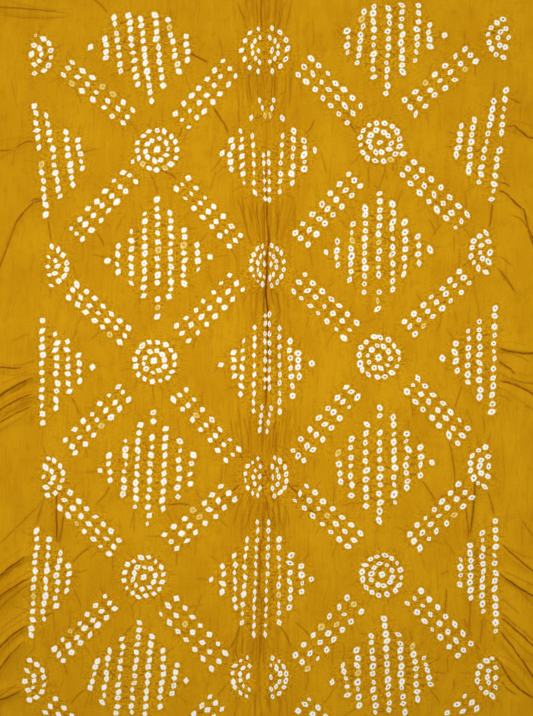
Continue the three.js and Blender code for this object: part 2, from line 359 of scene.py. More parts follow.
# Fine pleats that run between the motifs on the middle fold. Columns: y of their upper and lower ends,
# how far they spread from the fold at the upper and at the lower end, how many
PLEATS = [
    (490, 446, 40, 28, 11),
    (394, 336, 44, 36, 14),
    (214, 158, 42, 24, 14),
    (97, 58, 24, 36, 10),
    (-78, -136, 44, 32, 16),
    (-190, -228, 26, 40, 12),
    (-376, -408, 30, 34, 11),
    (-462, -492, 30, 38, 9),
]

# How uneven the pleats are: their places as a share of their spacing, their ends and their bow, and
# how much deeper they are at the fold and shallower at the sides
PLEAT_UNEVEN = 0.3
PLEAT_END_STRAY = 14
PLEAT_BOW = 1.8
PLEAT_DEEPEST = 1.1
PLEAT_SIDE_LOSS = 0.2

# How many long soft creases run along the threads, and how long they are at most. Then the share of
# that length that each has, its lean and bow, the shares of the sheet's width and length that they
# start in, and where along each it is kept clear of the dots, and how far
THREAD_CREASES = 110
THREAD_CREASE_LENGTH = 75
THREAD_CREASE_SHARE = (0.25, 1.0)
THREAD_CREASE_LEAN = 0.13
THREAD_CREASE_BOW = 1.5
THREAD_CREASE_ACROSS = (-0.47, 0.47)
THREAD_CREASE_ALONG = (-0.47, 0.49)
THREAD_CREASE_TESTS = (0.0, 0.25, 0.5, 0.75, 1.0)
THREAD_CREASE_CLEAR = 7

# Creases between two dots side by side: how far apart the dots are at most and at least, how much
# one may stand above the other, how many pairs have one, the gap left at each dot, bow and stray
TIE_REACH = 21
TIE_LEAST = 9
TIE_SLOPE = 0.45
TIE_CHANCE = 0.55
TIE_GAP = 4.4
TIE_BOW = 0.8
TIE_STRAY = 1.2

# Puckers: how far a dot's neighbours count, how one-sided they are at a motif's rim, how many rim dots
# have one, its length, turn, bow and gap to the dot, how many run upright, and how much longer they are
PUCKER_REACH = 24
PUCKER_PULL = 5.5
PUCKER_CHANCE = 0.5
PUCKER_LENGTH = (8, 24)
PUCKER_TURN = 0.2
PUCKER_BOW = 1.2
PUCKER_GAP = 4.2
UPRIGHT_CHANCE = 0.4
UPRIGHT_LONGER = 1.4

# Columns of dots in the lozenges. Each row is a column: x at its head, x at its foot, y of its head dot,
# y of its foot dot, how many dots and, where one is missing, which, counted from 0
COLUMNS = [
    (-240, -240, 422, 422, 1),
    (-220, -218, 435, 407, 4),
    (-207, -198, 464, 390, 8),
    (-188, -176, 465, 374, 10),
    (-171, -157, 462, 350, 12),
    (-152, -141, 465, 371, 10),
    (-135, -120, 460, 390, 8),
    (-109, -107, 437, 405, 4),

    (110, 110, 446, 415, 4),
    (131, 125, 471, 401, 8),
    (146, 146, 479, 382, 10),
    (167, 163, 476, 360, 12),
    (184, 184, 481, 388, 10),
    (207, 203, 479, 405, 8),
    (222, 222, 452, 423, 4),
    (243, 243, 439, 439, 1),

    (-217, -217, 133, 133, 1),
    (-202, -202, 152, 117, 4),
    (-184, -184, 171, 102, 7),
    (-166, -166, 197, 84, 11),
    (-148, -148, 215, 57, 15, 11),
    (-130, -131, 196, 83, 12),
    (-112, -112, 174, 102, 8),
    (-94, -94, 154, 121, 4),
    (-77, -77, 137, 137, 1),

    (81, 81, 143, 143, 1),
    (97, 97, 158, 127, 4),
    (116, 114, 181, 107, 8),
    (134, 133, 204, 90, 12),
    (154, 152, 224, 67, 15, 11),
    (171, 171, 209, 94, 11),
    (188, 188, 184, 113, 7),
    (206, 206, 166, 129, 4),
    (222, 222, 147, 147, 1),

    (-228, -228, -154, -154, 1),
    (-213, -213, -132, -166, 4),
    (-191, -195, -113, -186, 8),
    (-172, -179, -91, -203, 11),
    (-154, -162, -73, -226, 14, 2),
    (-137, -141, -97, -205, 10),
    (-118, -120, -113, -189, 7),
    (-101, -105, -132, -171, 4),

    (97, 100, -131, -169, 4),
    (115, 115, -109, -186, 7),
    (135, 135, -91, -201, 10),
    (154, 154, -67, -220, 14, 2),
    (172, 175, -80, -196, 11),
    (191, 191, -103, -178, 8),
    (210, 210, -122, -158, 4),
    (225, 225, -143, -143, 1),

    (-229, -240, -412, -449, 5),
    (-214, -222, -397, -468, 8),
    (-196, -203, -382, -484, 11),
    (-173, -184, -359, -483, 13),
    (-157, -165, -379, -484, 11),
    (-139, -145, -398, -473, 8),
    (-122, -128, -418, -456, 5),
    (-109, -109, -439, -439, 1),

    (89, 89, -441, -441, 1),
    (104, 111, -416, -457, 5),
    (122, 126, -397, -472, 8),
    (142, 148, -377, -483, 11),
    (160, 167, -354, -479, 13),
    (180, 187, -377, -481, 11),
    (199, 206, -392, -464, 8),
    (214, 224, -407, -443, 5),

    (-316, -300, 343, 196, 14, 6),
    (-299, -281, 329, 219, 11),
    (-273, -264, 305, 235, 8),
    (-256, -250, 296, 258, 5),
    (326, 307, 363, 215, 14, 6),
    (309, 289, 350, 238, 11),
    (282, 274, 324, 254, 8),
    (265, 259, 314, 276, 5),

    (-305, -305, 49, -88, 13),
    (-286, -286, 33, -68, 10),
    (-271, -269, 22, -46, 7),
    (-255, -255, 3, -31, 4),
    (-237, -237, -12, -12, 1),
    (311, 307, 67, -73, 13),
    (290, 290, 50, -53, 10),
    (274, 274, 38, -33, 7),
    (258, 258, 18, -16, 4),
    (239, 239, 0, 0, 1),

    (-312, -320, -235, -378, 14),
    (-296, -304, -247, -355, 11),
    (-282, -286, -265, -336, 8),
    (-270, -270, -283, -315, 4),
    (311, 311, -223, -371, 14),
    (294, 294, -237, -345, 11),
    (277, 277, -254, -326, 8),
    (263, 263, -273, -306, 4),
]

# Columns of the lozenges that the middle fold runs through, in the same form
MIDDLE_COLUMNS = [
    (-62, -62, 279, 279, 1),
    (-48, -48, 296, 257, 5),
    (-35, -31, 309, 238, 7),
    (-20, -20, 326, 326, 1),
    (-19, -16, 302, 226, 7),
    (-9, -2, 350, 329, 3),
    (-4, -2, 277, 216, 6),
    (3, 4, 277, 216, 6),
    (10, 5, 350, 329, 3),
    (22, 18, 302, 226, 7),
    (22, 22, 326, 326, 1),
    (37, 35, 309, 238, 7),
    (51, 51, 296, 257, 5),
    (66, 66, 283, 283, 1),

    (-62, -62, -9, -9, 1),
    (-44, -44, 8, -24, 4),
    (-31, -35, 23, -50, 7),
    (-16, -18, 41, -73, 10),
    (-2, -2, 58, -41, 9),
    (-6, -9, -67, -98, 4),
    (4, 4, 58, -41, 9),
    (6, 1, -67, -98, 4),
    (17, 18, 41, -73, 10),
    (31, 35, 23, -50, 7),
    (44, 44, 8, -24, 4),
    (62, 62, -8, -8, 1),

    (-75, -75, -302, -302, 1),
    (-59, -59, -283, -318, 4),
    (-43, -43, -268, -339, 7),
    (-27, -33, -247, -360, 10),
    (-12, -18, -223, -375, 14),
    (3, -2, -223, -375, 14),
    (17, 17, -247, -360, 10),
    (32, 32, -268, -339, 7),
    (48, 48, -283, -318, 4),
    (63, 63, -302, -302, 1),
]

# Bars between the motifs, each a slanting block of dots. Columns: x and y of the first dot of the middle
# line, x and y of its last dot, step from one line to the next in x and y, extra dots before the start
# of the first line
BARS = [
    (-271, 393, -188, 328, -7, -9, 0),
    (-51, 393, -114, 324, 9, -10, 0),
    (-187, 246, -258, 169, -8, 7, 1),
    (-115, 237, -43, 160, -8, -7, 0),
    (-263, 92, -194, 31, -6, -9, 0),
    (-41, 102, -114, 33, 8, -10, 0),
    (-195, -48, -266, -120, 7, -9, 0),
    (-118, -50, -46, -132, -8, -7, 0),
    (-274, -193, -207, -257, -7, -10, 0),
    (-52, -184, -130, -250, 8, -9, 0),
    (-213, -333, -282, -403, 7, -8, 0),
    (-133, -337, -66, -412, -10, -10, 0),
    (-294, -473, -226, -540, -7, -9, 0),
    (-69, -469, -138, -540, 8, -8, 0),
    (52, 397, 119, 332, -9, -11, 0),
    (278, 412, 195, 341, 7, -9, 0),
    (119, 242, 47, 162, 8, -7, 0),
    (192, 258, 265, 186, 8, 9, 1),
    (44, 102, 114, 39, -8, -10, 0),
    (269, 109, 195, 42, 7, -8, 0),
    (116, -46, 43, -133, 8, -7, 0),
    (198, -37, 266, -106, -7, -10, 0),
    (270, -181, 201, -249, 8, -9, 0),
    (46, -184, 119, -247, -8, -10, 0),
    (119, -335, 48, -413, 9, -9, 0),
    (201, -325, 269, -396, -9, -9, 0),
    (51, -472, 120, -540, -7, -8, 0),
    (278, -468, 209, -540, 8, -9, 0),
]
BAR_DOTS = 7
BAR_LINES = 3

# Rosettes. Columns: x, y
ROSETTES = [
    (-149, 283),
    (154, 294),
    (-152, -5),
    (153, 1),
    (-167, -298),
    (157, -295),
]
ROSETTE_RINGS = [(15, 10), (27, 16)]

# Half rosettes at the sides. Columns: x, y
SIDE_ROSETTES = [
    (-319, 413),
    (-298, 125),
    (-303, -162),
    (-328, -439),
    (328, 435),
    (304, 144),
    (303, -148),
    (313, -434),
]
SIDE_RINGS = [(13.5, 5), (26.5, 8)]
SIDE_SWEEP = 78

# Half rosettes on both sides of the middle fold. Columns: x and y of the arcs' centre, x of the centre
# dot, half width and half length of the inner arc, its dots, the same three of the outer arc
MIDDLE_ROSETTES = [
    (-5, 419, -11.5, 15, 17, 6, 28, 30, 7),
    (1, 419, 7.5, 15, 17, 6, 28, 30, 7),
    (0, 126, -3, 12, 17, 6, 21, 28, 8),
    (2, 126, 6, 12, 17, 6, 22, 28, 8),
    (-6, -162, -9, 12, 15, 5, 23, 26, 8),
    (5, -162, 9, 12, 15, 5, 23, 26, 8),
    (-20, -434, -25, 16, 17, 6, 26, 27, 8),
    (2, -434, 6, 16, 17, 6, 26, 27, 8),
]
MIDDLE_SWEEP = 76

# Places of dots that took dye and show only faintly, as x and y
FAINT_DOTS = [
    (-311, 439), (-262, 371), (-209, 362), (-131, 449), (-164, 262), (-149, 143), (-112, 156),
    (-149, 68), (-210, 31), (-94, -76), (-259, -226), (-92, -218), (-111, -362),
    (130, 460), (214, 375), (271, 390), (169, 273), (116, 162), (153, 152), (152, 76),
    (-2, 329), (5, 329), (211, 42), (99, -131), (256, -215), (84, -218), (119, -335), (96, -362),
]

# A dot's half length and half width, how much they vary, how far it strays from its place, and how
# far its long side turns
DOT_HALF_LONG = 4.3
DOT_HALF_WIDE = 3.28
DOT_SIZE_SPREAD = 0.11
DOT_STRAY = 0.75
DOT_TURN_SPREAD = 20

# Sizes of the dots in a bar, in an arc and at the middle of a rosette, against the others
BAR_DOT_SCALE = 0.97
ARC_DOT_SCALE = 0.93
CENTRE_DOT_SCALE = 1.2

# Which way a dot's long side lies, in degrees: in a rosette's middle, from the spoke in an arc, and
# in a column, where this share leans up to the right and the rest leans as much to the left
CENTRE_DOT_ANGLE = 60
ARC_DOT_ANGLE = 60
COLUMN_DOT_ANGLE = 58
LEAN_RIGHT = 0.75

# The dots of the left half, and of the right half, where the dye crept further in. Columns: ranges of
# the hole's size, of its speck's darkness and of the dot's roundness
HalfLook = namedtuple("HalfLook", "hole speck roundness")
LEFT_HALF = HalfLook((0.16, 0.30), (0.0, 0.4), (1.1, 1.6))
RIGHT_HALF = HalfLook((0.27, 0.43), (0.25, 1.0), (1.25, 1.95))

# Odd dots: faint ones, ones with a large hole and small ones. Each chance holds those before it
FAINT_CHANCE = 0.01
FAINT_WHITE = 0.35
FAINT_HOLE = 0.6
LARGE_HOLE_CHANCE = 0.06
LARGE_HOLE = 0.48
SMALL_CHANCE = 0.17
SMALL_LONG = 0.75
SMALL_WIDE = 0.7

# Beside the middle fold the dots are drawn in. How near the pairs of dots on the fold are to it, how far
# away that still shows, and how much narrower, shorter and steadier a dot is at the fold
FOLD_DOTS = 3
DRAWN_REACH = 45
DRAWN_NARROWER = 0.36
DRAWN_SHORTER = 0.12
DRAWN_STEADIER = 0.6

# Where a face has no line between neighbouring dots, it counts as this far from one
LINK_FAR = 99.0

# No dot is nearer than this to the cut edge
DOT_EDGE_CLEAR = 10

# The small cone that the tie leaves at a dot, how far it counts, and the dimple at its tip
CONE_HEIGHT = 0.8
CONE_REACH = 4.2
CONE_FOOT = 2.2 * CONE_REACH
DIMPLE_DEPTH = 0.5
DIMPLE_REACH = 1.5

# How far a motif's crumpling reaches from its dots, and how many dots' worth of nearness is the full one
MOTIF_REACH = 21
MOTIF_FULL = 2.6

# Soft waves of the cloth between its creases. Columns: width and length of a wave, layer of the noise,
# height in the plain cloth, what a motif adds to that
CRINKLES = [
    (42, 75, 1, 0.5, 0),
    (17, 23, 3, 0.4, 0),
    (7.5, 46, 5, 0.26, 0.2),
    (22, 8, 9, 0, 0.5),
    (8, 7, 13, 0, 0.45),
]

# Spacing of the mesh's points. A point is left out where another is nearer than the clearance given
# for its kind, which for a crease is a share of its width and elsewhere in the sheet one of the step
HEM_STEP = 3.4
HEM_CLEAR = 0.1
CREASE_STEP = 3.0
CREASE_CLEAR = 0.85
MIDDLE_CLEAR = 1.0
FILL_STEP = 4.1
GATHER_STEP = 2.4
CLEAR_SHARE = 0.6
INSIDE_HEM = HEM_STEP * CLEAR_SHARE
FILL_JITTER = 0.25

# The height of a row of even triangles as a share of its step, and how near two points of the mesh
# count as one
ROW_HEIGHT = math.sqrt(0.75)
SAME_POINT = 1e-6

# The rows of points along a crease, in crease widths to its left. Only wide creases have the outer two
CREASE_ROWS = (0, -1, 1, -2.4, 2.4)

# Points at a dot: the clearance of the middle one, the rings round it as radius and count, and theirs
DOT_MIDDLE_CLEAR = 1.0
DOT_RINGS = [(2.4, 6), (4.6, 10)]
DOT_RING_CLEAR = 1.5

# The gathers' closer points reach so far from the cloth's middle, where the gathers are at least so high
GATHER_POINTS_REACH = 60
GATHER_POINTS_LEAST = 0.4

# Colours, linear
DYE = (0.585, 0.270, 0.0012, 1)
# Deep dye, also painted shade in the blotches over the motifs
DEEP_DYE_AND_PAINTED_SHADE = (0.44, 0.162, 0.0006, 1)
# Light dye, also painted light in broad patches and soft streaks of the ground
LIGHT_DYE_AND_PAINTED_LIGHT = (0.68, 0.345, 0.003, 1)
DYE_FLECK = (0.32, 0.100, 0.0006, 1)
DYE_PALE = (0.80, 0.45, 0.004, 1)
# Dark of the creases, partly dye pooled there and partly painted shade
CREASE_DYE_AND_SHADE = (0.24, 0.055, 0.001, 1)
# Painted shade in the core of the deepest creases
CREASE_CORE_SHADE = (0.09, 0.028, 0.002, 1)
HALO = (0.80, 0.56, 0.04, 1)
UNDYED = (0.97, 0.97, 0.95, 1)
FAINT = (0.86, 0.70, 0.20, 1)
SPECK_PALE = (0.78, 0.66, 0.34, 1)
SPECK_DARK = (0.17, 0.075, 0.01, 1)
FLOOR = (0.74, 0.73, 0.71, 1)

# Where the mix node takes its share, its lower and its upper colour
MIX_PLACES = (0, 6, 7)

# Layers of colour over the ground colour, from the lowest up, some of them dye and some painted light
# and shade of the cloth's soft folds and crinkles. Columns: width, length and detail of its patches, noise at
# which one starts and is full, strength, colour, whether it bends with the threads, and what on the mesh
# limits it
DYE_LAYERS = [
    # Painted light of the soft folds, in broad patches
    (60, 90, 3.0, 0.35, 0.70, 0.70, LIGHT_DYE_AND_PAINTED_LIGHT, False, None),
    (2.2, 50, 3.0, 0.48, 0.75, 0.38, DEEP_DYE_AND_PAINTED_SHADE, True, None),
    # Painted light in soft streaks along the threads
    (9, 80, 2.0, 0.48, 0.72, 0.35, LIGHT_DYE_AND_PAINTED_LIGHT, True, None),
    (12, 16, 3.0, 0.50, 0.75, 0.30, DEEP_DYE_AND_PAINTED_SHADE, False, None),
    (1.1, 2.4, 2.0, 0.40, 0.80, 0.35, DEEP_DYE_AND_PAINTED_SHADE, False, None),
    (4.5, 60, 3.0, 0.45, 0.68, 0.50, DEEP_DYE_AND_PAINTED_SHADE, False, "beside_fold"),
    # Painted shade in blotches over the motifs
    (9, 6.5, 2.0, 0.46, 0.64, 0.40, DEEP_DYE_AND_PAINTED_SHADE, False, "motif"),
    (3.9, 3.9, 3.0, 0.49, 0.64, 0.80, DYE_FLECK, False, "motif"),
    (2.8, 2.3, 1.0, 0.50, 0.66, 0.85, DYE_PALE, False, "motif"),
]

# How far the streaks bend to a side with the threads, and the patches that they bend in
THREAD_BEND = 8
BEND_PATCH = (34, 40)

# A dot from its middle outwards, in shares of its half sizes: where its white, its halo and the dark rim
# round that start and end, how strong they are, and how ragged its edge is
WHITE_END = (0.99, 1.05)
HALO_END = (1.05, 1.5)
RIM_START = (1.3, 1.7)
RIM_END = (1.7, 2.4)
HALO_STRENGTH = 0.75
RIM_STRENGTH = 0.45
HOLE_STRENGTH = 0.85
RAGGED = 0.95
RAGGED_PATCH = (2.4, 2.4)

# Patches that break the rim, and those that break the white of a faint dot, with the noise at which one
# starts and is full
RIM_PATCH = (4, 4)
RIM_BREAKS = (0.4, 0.6)
FAINT_PATCH = (3.5, 3.5)
FAINT_BREAKS = (0.42, 0.58)

# Where a hole's edge starts and ends, for each unit of its size, and the sizes between which its speck
# gives way to dye
HOLE_EDGE = (0.8, 1.3)
DYED_HOLE = (0.45, 0.55)

# The line in a crease, partly dye pooled there and partly painted shade: how it wavers, its half width and
# what its depth adds, its soft surround of painted shade and how strong that is, the patches that make it
# fainter and how faint, its strength for each unit of depth and at most, and the core of painted shade, with
# the depths between which it appears
LINE_WAVER = 0.6
WAVER_PATCH = (6, 6)
LINE_HALF_WIDTH = 0.7
LINE_WIDER = 0.9
SURROUND = (0.3, 3.6)
SURROUND_STRENGTH = 0.3
FAINTER_PATCH = (9, 9)
FAINTER_BREAKS = (0.35, 0.55)
FAINTEST = 0.55
LINE_STRENGTH = 0.8
LINE_STRONGEST = 0.92
CORE_EDGE = (0.2, 1.2)
CORE_DEPTH = (1.4, 1.9)

# The pale line between the dots of a column, the patches that break it, and its strength
LINK_EDGE = (0.3, 1.8)
LINK_PATCH = (8, 8)
LINK_BREAKS = (0.35, 0.6)
LINK_STRENGTH = 0.7

# The weave's pitch, its slubs and how high they stand against the threads, and how strong its relief is
THREAD_PITCH = 0.42
SLUB_PATCH = (0.9, 16)
SLUB_HEIGHT = 4.0
WEAVE_STRENGTH = 0.6
WEAVE_HEIGHT = 0.05

# The cloth's finish. These names are the shader's own
CLOTH_FINISH = {
    "Roughness": 0.72,
    "Specular IOR Level": 0.18,
    "Specular Tint": (1.0, 0.78, 0.25, 1),
    "Sheen Weight": 0.06,
    "Sheen Roughness": 0.5,
    "Sheen Tint": (1.0, 0.75, 0.25, 1),
}

# The floor, the lights and the studio round them. Columns of a light: name, place, size, power, colour
FLOOR_HALF = 3000
FLOOR_FINISH = {"Base Color": FLOOR, "Roughness": 0.9}
LIGHTS = [
    ("window", (-500, 2100, 3200), 1200, 62, (1.0, 0.99, 0.97)),
    ("overhead", (-20, 0, 1200), 600, 7.95, (1.0, 1.0, 1.0)),
]
STUDIO_LIGHT = {"Color": (0.95, 0.97, 1.0, 1), "Strength": 0.2}

Dot = namedtuple("Dot", "x y angle half_long half_wide white hole speck roundness column place")
Crease = namedtuple("Crease", "x1 y1 x2 y2 bow depth width wave phase fade_start fade_end")


def smooth(share):
    t = np.clip(share, 0, 1)
    return t * t * (3 - 2 * t)


# The middle fold's x, height and crease depth at each y
def middle_at(y):
    table = MIDDLE_FOLD
    row = np.clip(np.searchsorted(-table[:, 0], -y), 1, len(table) - 1)
    share = smooth((y - table[row - 1, 0]) / (table[row, 0] - table[row - 1, 0]))
    return [table[row - 1, c] + (table[row, c] - table[row - 1, c]) * share for c in (1, 2, 3)]


# Where the crease runs along the middle fold
def middle_crease_x(y):
    wander = np.sin(y / SLOW_WANDER) + QUICK_SHARE * np.sin(y / QUICK_WANDER)
    return middle_at(y)[0] + MIDDLE_WANDER * wander


def middle_lift(x, y):
    fold_x, height, _ = middle_at(y)
    off = (np.abs(x - fold_x) - MIDDLE_REACH) / MIDDLE_LOBE
    return height * np.exp(-off * off)


# The share of the way along a straight line, and the signed distance from it to its left
def along_line(x, y, x1, y1, x2, y2):
    length = math.hypot(x2 - x1, y2 - y1)
    along_x = (x2 - x1) / length
    along_y = (y2 - y1) / length
    share = ((x - x1) * along_x + (y - y1) * along_y) / length
    away = (y - y1) * along_x - (x - x1) * along_y
    return share, away


# How far a bowed line stands to the left of its straight one, at a share of its length
def bow_at(share, bow):
    t = np.clip(share, 0, 1)
    return bow * 4 * t * (1 - t)


def fold_lift(x, y, row):
    x1, y1, x2, y2, bow, height, reach, lean = row
    share, away = along_line(x, y, x1, y1, x2, y2)
    away = away - bow_at(share, bow)
    inner = smooth((1 + RUN_ON_SHARE - share) / FADE_SHARE)
    outer = 1 if abs(x1) >= WIDTH / 2 else smooth((share + RUN_ON_SHARE) / FADE_SHARE)
    off = away / (reach * (1 + lean * np.sign(away)))
    return height * np.exp(-off * off) * inner * outer


# How strongly the cloth is gathered at a point, as the height of the gathers there
def gather_strength(x, y):
    from_fold = x - middle_at(y)[0]
    strength = np.zeros_like(x)
    for middle, half, height, spread in GATHERS:
        across = np.exp(-((from_fold / spread) ** 4))
        along = np.exp(-(((y - middle) / half) ** 4))
        strength = np.maximum(strength, height * across * along)
    return strength


def gather_lift(x, y):
    from_fold = x - middle_at(y)[0]
    ripple = 0.5 - 0.5 * np.cos(2 * math.pi * from_fold / GATHER_PITCH)
    return gather_strength(x, y) * ripple


# The height of the solid's underside, which the cloth follows
def lift_at(x, y):
    cubes = middle_lift(x, y) ** 3 + gather_lift(x, y) ** 3
    for row in FOLDS:
        cubes = cubes + fold_lift(x, y, row) ** 3
    return np.maximum(0, np.cbrt(cubes) - FLAT_BELOW)


# How far the cut edge stands in at a place along it, in units of its wander
def edge_wave(along, side):
    return EDGE_WANDER_MEAN + np.sin(along / SLOW_WAVE + side) + QUICK_SHARE * np.sin(along / QUICK_WAVE)


def wandered(x, y):
    near_side = smooth(1 - (WIDTH / 2 - np.abs(x)) / EDGE_WANDER_DEPTH)
    near_end = smooth(1 - (LENGTH / 2 - np.abs(y)) / EDGE_WANDER_DEPTH)
    in_x = near_side * EDGE_WANDER * edge_wave(y, np.sign(x))
    in_y = near_end * EDGE_WANDER * edge_wave(x, np.sign(y))
    return x - np.sign(x) * in_x, y - np.sign(y) * in_y


# The dots
dot_random = random.Random(DOT_SEED)
dots = []


# How much the cloth is drawn in towards the middle fold, from 0 away from it to 1 at it
def drawn_in(x, y):
    from_fold = abs(x - middle_at(y)[0])
    return float(smooth(1 - (from_fold - FOLD_DOTS) / DRAWN_REACH))


# A dot near a place, its long side at about the given angle in degrees
def add_dot(x, y, angle, scale=1.0, column=-1, place=0):
    drawn = drawn_in(x, y)
    free = 1 - DRAWN_STEADIER * drawn
    x += dot_random.gauss(0, DOT_STRAY) * free
    y += dot_random.gauss(0, DOT_STRAY)
    half_long = DOT_HALF_LONG * scale * (1 + dot_random.gauss(0, DOT_SIZE_SPREAD))
    half_wide = DOT_HALF_WIDE * scale * (1 + dot_random.gauss(0, DOT_SIZE_SPREAD))
    half_wide *= 1 - DRAWN_NARROWER * drawn
    half_long *= 1 - DRAWN_SHORTER * drawn
    upright = angle % 180 + (90 - angle % 180) * drawn
    turn = math.radians(upright + dot_random.gauss(0, DOT_TURN_SPREAD) * free)
    look = LEFT_HALF if x < 0 else RIGHT_HALF
    hole = dot_random.uniform(*look.hole)
    speck = dot_random.uniform(*look.speck)
    chance = dot_random.random()
    white = 1.0
    if chance < FAINT_CHANCE:
        white = FAINT_WHITE
        hole = FAINT_HOLE
    elif chance < LARGE_HOLE_CHANCE:
        hole = LARGE_HOLE
    elif chance < SMALL_CHANCE:
        half_long *= SMALL_LONG
        half_wide *= SMALL_WIDE
    roundness = dot_random.uniform(*look.roundness)
    if abs(y) < LENGTH / 2 - DOT_EDGE_CLEAR:
        dots.append(Dot(x, y, turn, half_long, half_wide, white, hole, speck, roundness, column, place))


# A column of dots, most of them leaning up to the right
def add_column(column, x_head, x_foot, y_head, y_foot, count, missing=None):
    for i in range(count):
        share = i / max(count - 1, 1)
        x = x_head + (x_foot - x_head) * share
        y = y_head + (y_foot - y_head) * share
        angle = COLUMN_DOT_ANGLE if dot_random.random() < LEAN_RIGHT else 180 - COLUMN_DOT_ANGLE
        if i != missing:
            add_dot(x, y, angle, column=column, place=i)


# A bar of dots, longest along the bar
def add_bar(x1, y1, x2, y2, step_x, step_y, extra):
    angle = math.degrees(math.atan2(y2 - y1, x2 - x1))
    for line in range(BAR_LINES):
        first = -extra if line == BAR_LINES - 1 else 0
        for i in range(first, BAR_DOTS):
            share = i / (BAR_DOTS - 1)
            across = line - (BAR_LINES - 1) / 2
            x = x1 + (x2 - x1) * share + step_x * across
            y = y1 + (y2 - y1) * share + step_y * across
            add_dot(x, y, angle, BAR_DOT_SCALE)


# An arc of dots on an ellipse, from one angle to another
def add_arc(x, y, half_x, half_y, count, start, end, closed=False):
    steps = count if closed else count - 1
    for i in range(count):
        turn = math.radians(start + (end - start) * i / steps)
        dot_x = x + half_x * math.cos(turn)
        dot_y = y + half_y * math.sin(turn)
        add_dot(dot_x, dot_y, math.degrees(turn) + ARC_DOT_ANGLE, ARC_DOT_SCALE)


def add_all_dots():
    for column, row in enumerate(COLUMNS + MIDDLE_COLUMNS):
        add_column(column, *row)
    for row in BARS:
        add_bar(*row)
    for x, y in ROSETTES:
        add_dot(x, y, CENTRE_DOT_ANGLE, CENTRE_DOT_SCALE)
        for radius, count in ROSETTE_RINGS:
            start = dot_random.uniform(0, 360)
            add_arc(x, y, radius, radius, count, start, start + 360, closed=True)
    for x, y in SIDE_ROSETTES:
        facing = 0 if x < 0 else 180
        add_dot(x, y, CENTRE_DOT_ANGLE)
        for radius, count in SIDE_RINGS:
            add_arc(x, y, radius, radius, count, facing - SIDE_SWEEP, facing + SIDE_SWEEP)
    for x, y, centre_x, inner_x, inner_y, inner, outer_x, outer_y, outer in MIDDLE_ROSETTES:
        facing = 180 if centre_x < middle_at(y)[0] else 0
        add_dot(centre_x, y, CENTRE_DOT_ANGLE)
        add_arc(x, y, inner_x, inner_y, inner, facing - MIDDLE_SWEEP, facing + MIDDLE_SWEEP)
        add_arc(x, y, outer_x, outer_y, outer, facing - MIDDLE_SWEEP, facing + MIDDLE_SWEEP)


def tree_of(places):
    tree = kdtree.KDTree(len(places))
    for i, (x, y) in enumerate(places):
        tree.insert((x, y, 0), i)
    tree.balance()
    return tree


add_all_dots()
dot_tree = tree_of([(dot.x, dot.y) for dot in dots])
for faint_x, faint_y in FAINT_DOTS:
    nearest = dot_tree.find((faint_x, faint_y, 0))[1]
    dots[nearest] = dots[nearest]._replace(white=FAINT_WHITE, hole=FAINT_HOLE)


crease_random = random.Random(CREASE_SEED)
creases = []


def add_crease(x1, y1, x2, y2, bow, depth, width, wave, fade_start=FADE_START, fade_end=FADE_END):
    phase = crease_random.uniform(0, 2 * math.pi)
    creases.append(Crease(x1, y1, x2, y2, bow, depth, width, wave, phase, fade_start, fade_end))


# How far a crease stands to the left of its straight line, with its bow and its wave
def crease_offset(crease, share):
    length = math.hypot(crease.x2 - crease.x1, crease.y2 - crease.y1)
    turn = 2 * math.pi * share * length / CREASE_WAVE_LENGTH
    wave = np.sin(turn + crease.phase) + QUICK_SHARE * np.sin(QUICK_TIMES * turn - crease.phase)
    return bow_at(share, crease.bow) + crease.wave * wave


def add_charted_creases():
    for x1, y1, x2, y2, bow, depth in CREASES:
        add_crease(x1, y1, x2, y2, bow, depth, CREASE_WIDTH, CREASE_WAVE)
    for path in LONG_CREASES:
        last = len(path) - 2
        for i, ((x1, y1, depth), (x2, y2, _)) in enumerate(zip(path, path[1:])):
            fade_start = FADE_START if i == 0 else NO_FADE
            fade_end = FADE_END if i == last else NO_FADE
            add_crease(x1, y1, x2, y2, 0, depth, CREASE_WIDTH, 0, fade_start, fade_end)


def depth_of(kind):
    return crease_random.uniform(kind.least_depth, kind.most_depth)


# Two finer creases beside each fold that starts at the cut edge and runs nearly straight
def add_edge_creases():
    kind = EDGE_CREASE
    for x1, y1, x2, y2, bow, _, reach, _ in FOLDS:
        if abs(x1) < WIDTH / 2 or abs(bow) > STRAIGHT_BOW:
            continue
        for side in (-1, 1):
            outer = side * crease_random.uniform(*EDGE_CREASE_OUTER) * reach
            inner = side * crease_random.uniform(*EDGE_CREASE_INNER) * reach
            start = crease_random.uniform(*EDGE_CREASE_START)
            start_x = x1 + (x2 - x1) * start
            start_y = y1 + (y2 - y1) * start + outer
            add_crease(start_x, start_y, x2, y2 + inner, bow, depth_of(kind), kind.width, kind.wave)


# Pleats that fan out from the motifs on the middle fold
def add_pleats():
    for upper, lower, upper_spread, lower_spread, count in PLEATS:
        for i in range(count):
            place = (i + 0.5 + crease_random.uniform(-PLEAT_UNEVEN, PLEAT_UNEVEN)) * 2 / count - 1
            y1 = upper + crease_random.uniform(-PLEAT_END_STRAY, PLEAT_END_STRAY)
            y2 = lower + crease_random.uniform(-PLEAT_END_STRAY, PLEAT_END_STRAY)
            x1 = middle_at(y1)[0] + place * upper_spread
            x2 = middle_at(y2)[0] + place * lower_spread
            depth = depth_of(PLEAT) * (PLEAT_DEEPEST - PLEAT_SIDE_LOSS * abs(place))
            add_crease(x1, y1, x2, y2, crease_random.gauss(0, PLEAT_BOW), depth, PLEAT.width, PLEAT.wave)


